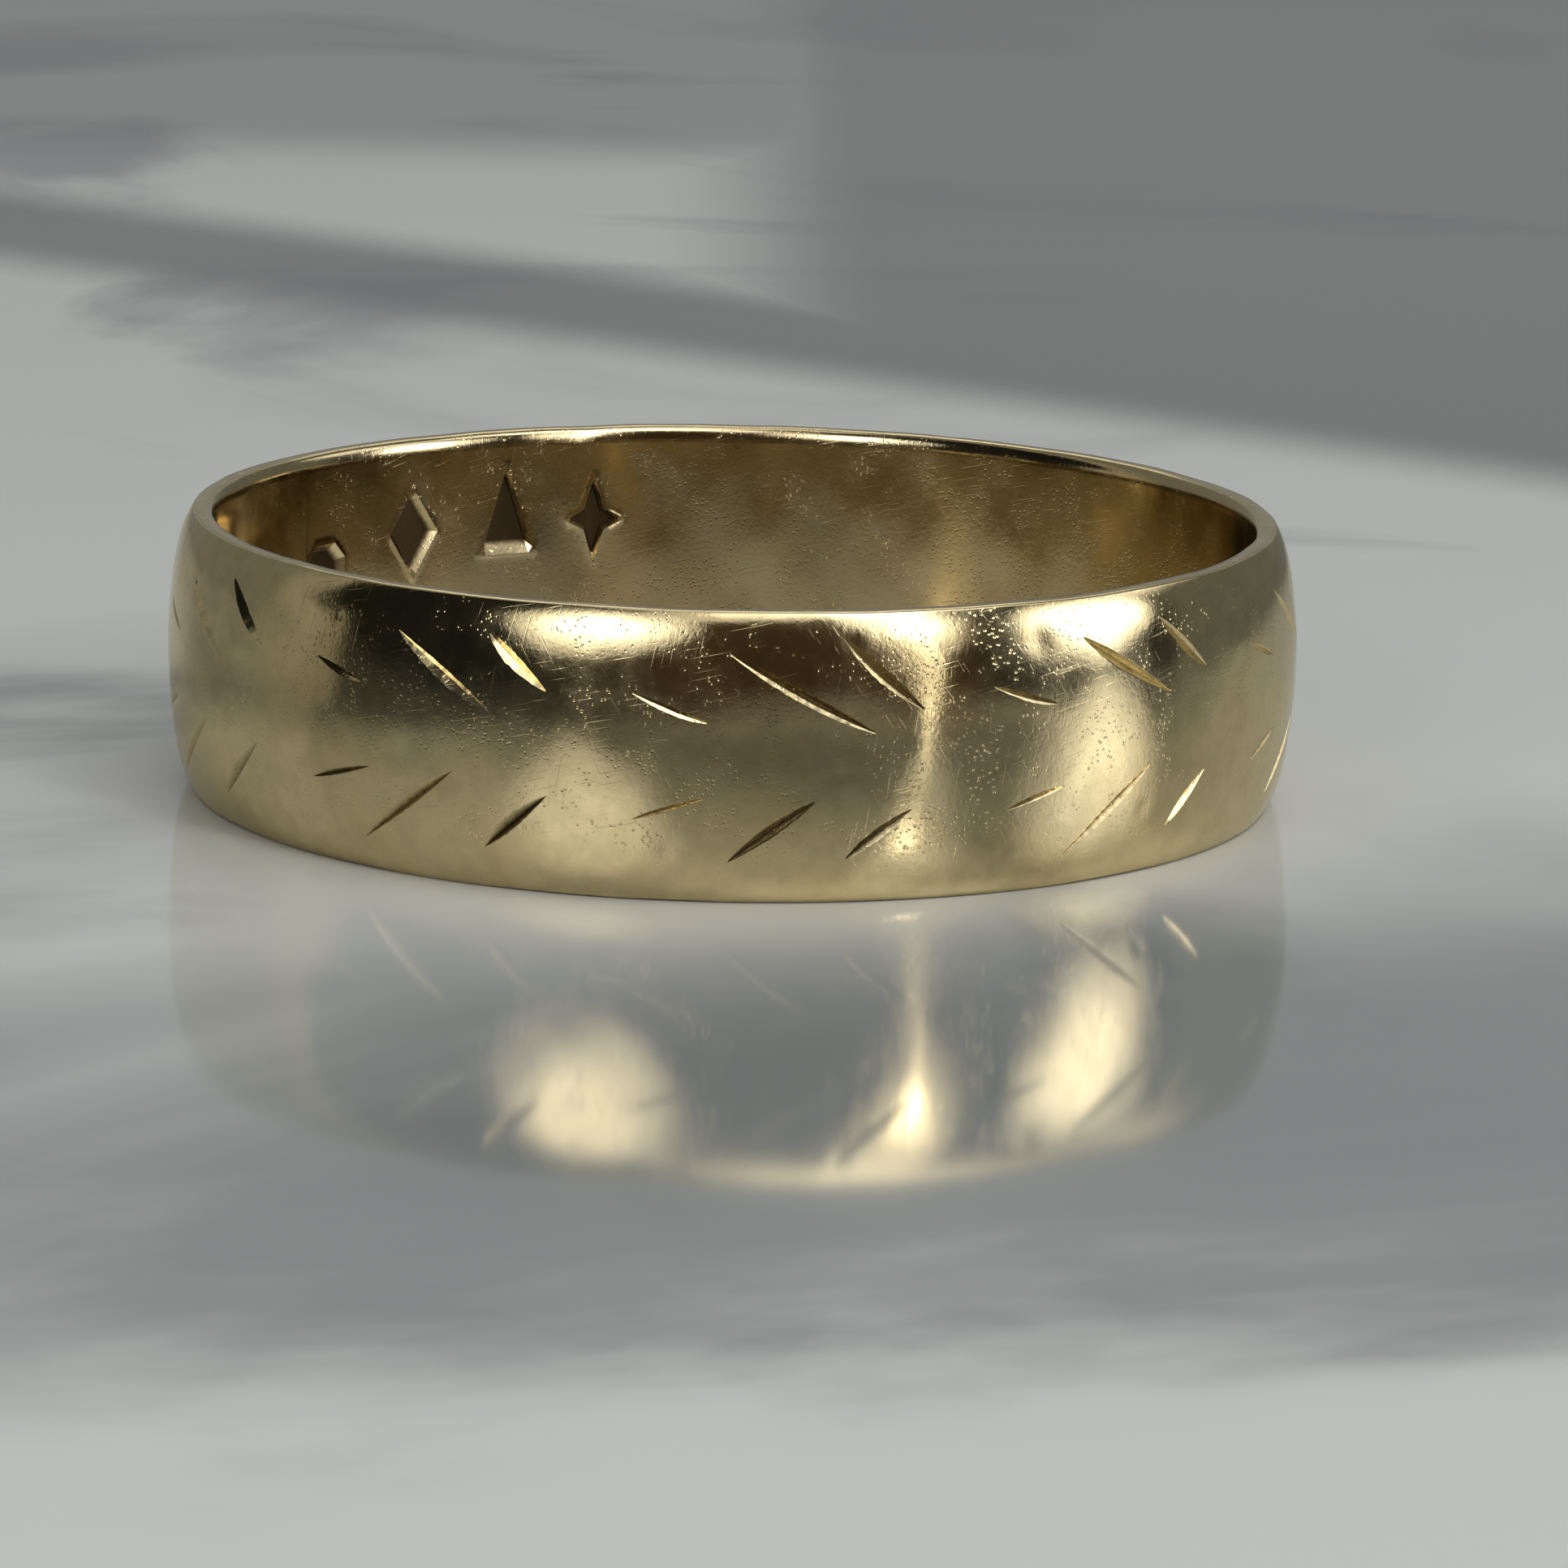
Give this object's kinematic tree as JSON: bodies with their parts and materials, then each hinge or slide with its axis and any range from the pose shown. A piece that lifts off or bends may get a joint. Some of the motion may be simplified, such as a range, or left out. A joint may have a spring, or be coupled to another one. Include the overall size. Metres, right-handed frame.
{
  "type": "wedding band",
  "caption": "Plain one-piece domed gold ring for a finger, with two rows of short slanting slashes cut round its outside edges.",
  "frame": {"origin": "centre of the finger hole in the plane of the lower rim, where the band rests on a table", "axes": "+Z along the finger axis from the lower rim to the upper rim; -Y is the front, where the first group of slashes sits, and the punches in the bore are at the back left, towards -X and +Y"},
  "size_m": [0.0206, 0.0206, 0.005],
  "materials": {
    "gold": "worn polished yellow gold, softly blurred reflections with fine wear scratches"
  },
  "bodies": {
    "root": {"band": "gold"}
  },
  "joints": []
}
